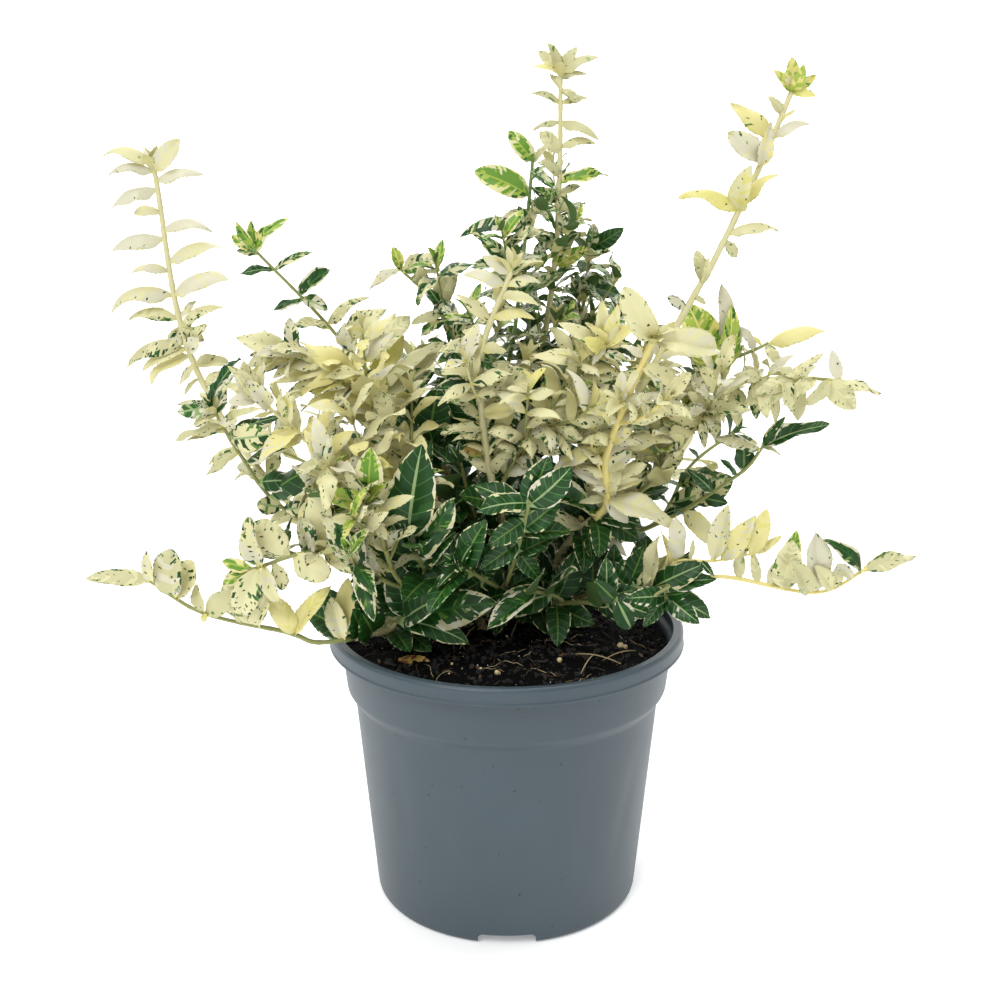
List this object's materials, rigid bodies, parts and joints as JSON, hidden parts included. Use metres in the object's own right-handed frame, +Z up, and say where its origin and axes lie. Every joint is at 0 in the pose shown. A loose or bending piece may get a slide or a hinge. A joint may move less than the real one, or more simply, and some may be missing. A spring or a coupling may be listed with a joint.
{
  "type": "potted harlequin wintercreeper",
  "caption": "Small evergreen shrub with arching, cream-variegated leafy shoots, growing in a round tapered plastic nursery pot filled with soil.",
  "frame": {"origin": "middle of the flat underside of the pot", "axes": "+Z up, out of the pot; -Y towards the front of the plant; +X to the right seen from the front"},
  "size_m": [0.3769, 0.256, 0.403],
  "materials": {
    "pot": "grey-blue moulded polypropylene, matte, lightly scuffed",
    "soil": "moist dark peat with bark fibres and a few pale grains",
    "bark": "young tan to green bark",
    "cream_foliage": "leathery cream leaves flecked with dark green",
    "green_foliage": "leathery dark green leaves with cream margins"
  },
  "bodies": {
    "root": {"pot": "pot", "soil": "soil", "short_stem": "bark", "bough_centre": "bark", "bough_centre_back": "bark", "bough_front_centre": "bark", "bough_left_front": "bark", "bough_left_back": "bark", "bough_left": "bark", "bough_left_low": "bark", "bough_left_trailing": "bark", "bough_low_left": "bark", "bough_low_centre": "bark", "bough_low_right": "bark", "bough_right_long": "bark", "bough_right": "bark", "bough_right_middle": "bark", "bough_right_low": "bark", "bough_back_right": "bark", "bough_back": "bark", "bough_back_left": "bark", "foliage_upper_left": "cream_foliage", "foliage_left_middle": "cream_foliage", "foliage_left_cream": "cream_foliage", "foliage_left_fore": "cream_foliage", "foliage_left_green": "green_foliage", "foliage_back_left_high": "green_foliage", "foliage_bud_shoot": "green_foliage", "foliage_centre_green": "green_foliage", "foliage_top_centre": "cream_foliage", "foliage_centre_rear": "green_foliage", "foliage_front_shoot": "cream_foliage", "foliage_front_middle": "green_foliage", "foliage_front_right": "cream_foliage", "foliage_upper_right": "cream_foliage", "foliage_right_cream": "cream_foliage", "foliage_right_upper": "green_foliage", "foliage_right_dark": "green_foliage", "foliage_right_rear": "green_foliage", "foliage_right_trailing": "cream_foliage", "foliage_right_inner": "green_foliage", "foliage_left_trailing": "cream_foliage", "foliage_left_bright": "cream_foliage", "foliage_front_new": "green_foliage", "foliage_inner_left": "green_foliage", "foliage_inner_low_left": "green_foliage", "foliage_inner_front": "green_foliage", "foliage_inner_fore": "green_foliage", "foliage_inner_low_right": "green_foliage", "foliage_inner_low_front": "green_foliage", "foliage_back_high": "cream_foliage", "foliage_back_low": "green_foliage", "foliage_back_right_high": "green_foliage", "foliage_back_right_low": "cream_foliage", "foliage_back_left_low": "cream_foliage", "foliage_back_left_rear": "green_foliage", "foliage_inner_core": "green_foliage"}
  },
  "joints": []
}
